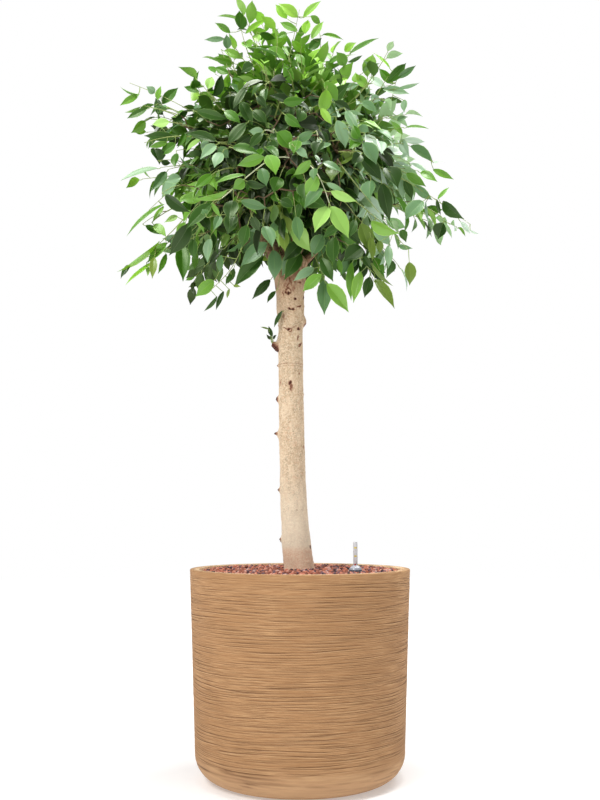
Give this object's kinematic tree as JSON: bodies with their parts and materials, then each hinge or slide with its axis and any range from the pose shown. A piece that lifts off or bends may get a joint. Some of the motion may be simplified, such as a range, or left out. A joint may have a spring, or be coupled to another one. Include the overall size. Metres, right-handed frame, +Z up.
{
  "type": "potted ficus standard",
  "caption": "Small-leaved ficus grown as a standard: bare leaning stem, round shaggy crown of glossy leaves, in a ribbed round planter topped with clay granules.",
  "frame": {"origin": "centre of the planter's flat underside", "axes": "+Z up along the planter's axis, -Y towards the front, which shows the stem's lean to the left and the water gauge on the right"},
  "size_m": [0.7167, 0.6533, 1.566],
  "materials": {
    "pot": "matte",
    "clay_granules": "matte",
    "bark": "matte",
    "young_bark": "matte",
    "green_twig": "satin",
    "leaf_deep": "satin",
    "leaf_mid": "satin",
    "leaf_fresh": "satin",
    "gauge_cap": "satin",
    "gauge_tube": "gloss",
    "gauge_mark": "satin"
  },
  "bodies": {
    "root": {"bough_high_1": "young_bark", "bough_high_2": "young_bark", "bough_high_3": "young_bark", "bough_high_4": "young_bark", "bough_high_5": "young_bark", "bough_leader": "young_bark", "bough_low_1": "young_bark", "bough_low_2": "young_bark", "bough_low_3": "young_bark", "bough_low_4": "young_bark", "bough_low_5": "young_bark", "clay_granules": "clay_granules", "foliage_crest_1": "leaf_fresh", "foliage_crest_2": "leaf_fresh", "foliage_crest_3": "leaf_fresh", "foliage_crown_core": "leaf_mid", "foliage_middle_1": "leaf_mid", "foliage_middle_2": "leaf_mid", "foliage_middle_3": "leaf_mid", "foliage_middle_4": "leaf_mid", "foliage_middle_5": "leaf_mid", "foliage_skirt_1": "leaf_deep", "foliage_skirt_2": "leaf_deep", "foliage_skirt_3": "leaf_deep", "foliage_skirt_4": "leaf_deep", "foliage_skirt_5": "leaf_deep", "foliage_skirt_6": "leaf_deep", "foliage_skirt_7": "leaf_deep", "foliage_spray_back": "leaf_fresh", "foliage_spray_back_left": "leaf_fresh", "foliage_spray_back_right": "leaf_fresh", "foliage_spray_front": "leaf_fresh", "foliage_spray_front_left_low": "leaf_fresh", "foliage_spray_front_low": "leaf_fresh", "foliage_spray_left_high": "leaf_fresh", "foliage_spray_left_low": "leaf_fresh", "foliage_spray_left_middle": "leaf_fresh", "foliage_spray_left_shoulder": "leaf_fresh", "foliage_spray_left_thin": "leaf_fresh", "foliage_spray_right": "leaf_fresh", "foliage_spray_right_hanging": "leaf_fresh", "foliage_spray_right_high": "leaf_fresh", "foliage_spray_right_low": "leaf_fresh", "foliage_spray_right_outer": "leaf_fresh", "foliage_spray_top": "leaf_fresh", "foliage_spray_top_left": "leaf_fresh", "foliage_spray_top_left_outer": "leaf_fresh", "foliage_upper_1": "leaf_mid", "foliage_upper_2": "leaf_mid", "foliage_upper_3": "leaf_mid", "foliage_upper_4": "leaf_mid", "foliage_upper_5": "leaf_mid", "pot": "pot", "sprout_spur": "bark", "sprout_tuft": "leaf_mid", "trunk": "bark", "water_gauge_cap": "gauge_cap", "water_gauge_tube": "gauge_tube"}
  },
  "joints": []
}
